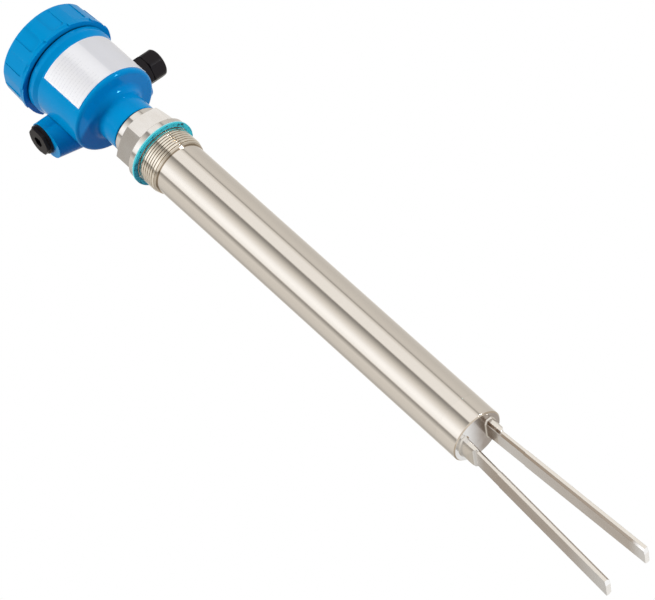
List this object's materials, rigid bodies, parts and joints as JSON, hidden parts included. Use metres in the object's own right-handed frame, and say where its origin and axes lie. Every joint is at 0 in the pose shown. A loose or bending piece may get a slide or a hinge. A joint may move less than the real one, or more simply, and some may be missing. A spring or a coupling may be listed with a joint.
{
  "type": "vibrating fork level switch",
  "caption": "Point level switch for silos: two-tine vibrating fork on an extension tube, threaded process fitting with hexagon, and a round plastic housing with screw lid and cable gland.",
  "frame": {"origin": "on the main axis, in the plane where the gasket's underside meets the vessel, at the upper end of the process thread", "axes": "+Z along the main axis up to the housing and lid, the fork hangs at -Z; +X towards the cable gland, -X towards the blind plug"},
  "size_m": [0.1161, 0.0838, 0.6393],
  "materials": {
    "fitting_steel": "turned",
    "tube_steel": "polished along the circumference",
    "fork_steel": "satin",
    "gasket_teal": "fibre sheet, mottled",
    "housing_blue": "moulded, satin",
    "lid_blue": "moulded, satin",
    "label_foil": "bare foil label",
    "black_plastic": "moulded",
    "black_rubber": "matt",
    "insert_grey": "moulded",
    "terminal_green": "moulded",
    "switch_red": "moulded",
    "slider_white": "moulded",
    "lamp_green": "clear tinted",
    "screw_steel": "plated",
    "piezo_ceramic": "fired",
    "contact_brass": "sheet",
    "insulator_white": "fired",
    "lead_black": "cable sheath"
  },
  "bodies": {
    "sensor": {"process_fitting": "fitting_steel", "process_gasket": "gasket_teal", "extension_tube": "tube_steel", "tuning_fork": "fork_steel", "drive_stud": "screw_steel", "drive_nut": "screw_steel", "pressure_plate": "fitting_steel", "piezo_discs": "piezo_ceramic", "contact_plates": "contact_brass", "insulating_discs": "insulator_white", "sensor_lead": "lead_black", "neck_seal": "black_rubber", "retaining_ring": "screw_steel"},
    "head": {"housing": "housing_blue", "type_label": "label_foil", "gland_gasket": "black_rubber", "gland_body": "black_plastic", "gland_seal": "black_rubber", "gland_nut": "black_plastic", "plug_seal": "black_rubber", "blind_plug": "black_plastic", "sensor_plug": "slider_white", "electronics_insert": "insert_grey", "insert_screws": "screw_steel", "terminal_block": "terminal_green", "terminal_screws": "screw_steel", "switch_block": "switch_red", "signal_lamp": "lamp_green"},
    "lid_ring": {"lid_seal": "black_rubber"},
    "cover": {"lid": "lid_blue"},
    "mode_switch": {"mode_slider": "slider_white"},
    "density_switch": {"density_slider": "slider_white"}
  },
  "joints": [
    {"name": "housing_swivel", "type": "hinge", "parent": "sensor", "child": "head", "pos_m": [0, 0, 0.05], "axis": [0, 0, 1], "range_deg": [-165, 165]},
    {"name": "lid_lift", "type": "slide", "parent": "head", "child": "lid_ring", "axis": [0, 0, 1], "range_m": [0, 0.018]},
    {"name": "lid_turn", "type": "hinge", "parent": "lid_ring", "child": "cover", "pos_m": [0, 0, 0.13], "axis": [0, 0, 1], "range_deg": [0, 1080]},
    {"name": "mode_slide", "type": "slide", "parent": "head", "child": "mode_switch", "axis": [0, 1, 0], "range_m": [0, 0.002]},
    {"name": "density_slide", "type": "slide", "parent": "head", "child": "density_switch", "axis": [0, 1, 0], "range_m": [0, 0.002]}
  ],
  "couplings": [
    {"joint": "lid_lift", "follows": "lid_turn", "m_per_rad": 0.00095493}
  ]
}
